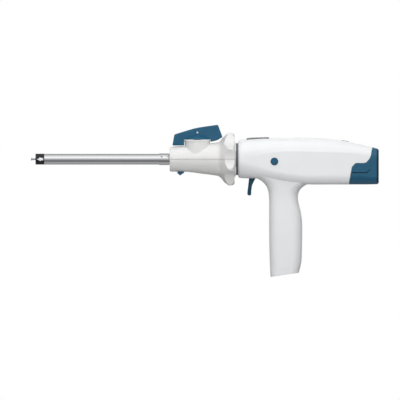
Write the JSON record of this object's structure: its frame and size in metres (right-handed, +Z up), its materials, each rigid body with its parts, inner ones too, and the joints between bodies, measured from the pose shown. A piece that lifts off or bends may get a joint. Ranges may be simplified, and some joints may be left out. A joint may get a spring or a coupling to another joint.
{
  "type": "powered linear stapler",
  "caption": "Battery powered surgical linear stapler handle with rotation knob, articulation lever, trigger, straight shaft and plug-in battery pack.",
  "frame": {"origin": "centre of the shaft's front end, on the shaft's axis", "axes": "+X along the shaft towards the handle, +Z up away from the grip, -Y the side with the arming button"},
  "size_m": [0.3826, 0.058, 0.1673],
  "materials": {
    "white_shell": "fine moulded texture",
    "knob_white": "satin moulded",
    "blue_plastic": "satin moulded",
    "shaft_steel": "polished lengthwise",
    "inner_steel": "turned",
    "black_plastic": "satin",
    "dark_ring": "satin",
    "smoked_lens": "polished",
    "nylon": "natural nylon",
    "brass": "machined",
    "frame_aluminium": "machined",
    "circuit_board": "solder mask",
    "cell_wrap": "shrink wrap",
    "screw_steel": "plated"
  },
  "bodies": {
    "handle": {"left_shell": "white_shell", "right_shell": "white_shell", "shell_screws": "screw_steel", "nose_ring": "dark_ring", "nose_bush": "nylon", "status_window": "smoked_lens", "display_board": "circuit_board", "indicator_lens": "smoked_lens", "button_bezel": "dark_ring", "gear_frame_left": "frame_aluminium", "gear_frame_right": "frame_aluminium", "shaft_bushes": "brass", "rack_guide": "nylon", "motor": "inner_steel", "gearbox": "inner_steel", "control_board": "circuit_board", "trigger_switch": "black_plastic", "trigger_pin": "inner_steel", "arming_switch": "black_plastic", "battery_bulkhead": "nylon", "battery_contacts": "black_plastic"},
    "knob": {"knob_upper": "knob_white", "knob_lower": "knob_white", "knob_screws": "screw_steel", "shaft_tube": "shaft_steel", "shaft_collar": "shaft_steel", "tip_sleeve": "black_plastic", "shaft_core": "nylon", "swivel_hub": "nylon", "retaining_ring": "inner_steel"},
    "lever": {"articulation_lever": "blue_plastic", "lever_pivot": "inner_steel", "lever_pin": "inner_steel"},
    "link": {"articulation_link": "inner_steel"},
    "rod": {"firing_rod": "inner_steel"},
    "unload_slider": {"unload_button": "blue_plastic"},
    "rack": {"drive_rack": "inner_steel", "rack_coupler": "inner_steel"},
    "cross_gears": {"cross_shaft": "inner_steel", "drive_pinion": "brass", "bevel_gear": "brass"},
    "output_gears": {"output_shaft": "inner_steel", "bevel_pinion": "brass"},
    "trigger_lever": {"trigger": "blue_plastic"},
    "arming": {"arming_button": "blue_plastic"},
    "battery": {"battery_case": "blue_plastic", "battery_tray": "nylon", "battery_cells": "cell_wrap", "battery_terminals": "brass"},
    "near_latch": {"latch_left": "blue_plastic"},
    "far_latch": {"latch_right": "blue_plastic"}
  },
  "joints": [
    {"name": "knob_spin", "type": "hinge", "parent": "handle", "child": "knob", "pos_m": [0.223, 0, 0], "axis": [1, 0, 0], "continuous": true},
    {"name": "lever_swing", "type": "hinge", "parent": "knob", "child": "lever", "pos_m": [0.1781, 0, 0.0211], "axis": [0, 0, 1], "range_deg": [-48, 48]},
    {"name": "link_slide", "type": "slide", "parent": "knob", "child": "link", "axis": [1, 0, 0], "range_m": [-0.00298, 0.00298]},
    {"name": "rack_drive", "type": "slide", "parent": "handle", "child": "rack", "axis": [-1, 0, 0], "range_m": [0, 0.055]},
    {"name": "rod_slide", "type": "slide", "parent": "knob", "child": "rod", "axis": [-1, 0, 0], "range_m": [0, 0.055]},
    {"name": "cross_spin", "type": "hinge", "parent": "handle", "child": "cross_gears", "pos_m": [0.271, 0, -0.01], "axis": [0, -1, 0], "range_deg": [0, 530]},
    {"name": "output_spin", "type": "hinge", "parent": "handle", "child": "output_gears", "pos_m": [0.271, 0, -0.022], "axis": [0, 0, -1], "range_deg": [0, 1055]},
    {"name": "trigger_pull", "type": "hinge", "parent": "handle", "child": "trigger_lever", "pos_m": [0.239, 0, -0.012], "axis": [0, -1, 0], "range_deg": [0, 12], "stiffness_Nm_per_rad": 0.2},
    {"name": "arming_press", "type": "slide", "parent": "handle", "child": "arming", "axis": [0, 1, 0], "range_m": [0, 0.0015], "stiffness_N_per_m": 400},
    {"name": "unload_pull", "type": "slide", "parent": "knob", "child": "unload_slider", "axis": [1, 0, 0], "range_m": [0, 0.006], "stiffness_N_per_m": 150},
    {"name": "battery_pull", "type": "slide", "parent": "handle", "child": "battery", "axis": [1, 0, 0], "range_m": [0, 0.05]},
    {"name": "near_latch_press", "type": "slide", "parent": "battery", "child": "near_latch", "axis": [0, 1, 0], "range_m": [0, 0.0007], "stiffness_N_per_m": 800},
    {"name": "far_latch_press", "type": "slide", "parent": "battery", "child": "far_latch", "axis": [0, -1, 0], "range_m": [0, 0.0007], "stiffness_N_per_m": 800}
  ],
  "couplings": [
    {"joint": "rod_slide", "follows": "rack_drive", "ratio": 1},
    {"joint": "cross_spin", "follows": "rack_drive", "rad_per_m": 166.67},
    {"joint": "output_spin", "follows": "rack_drive", "rad_per_m": 333.33},
    {"joint": "lever_swing", "follows": "link_slide", "rad_per_m": 263.16}
  ]
}
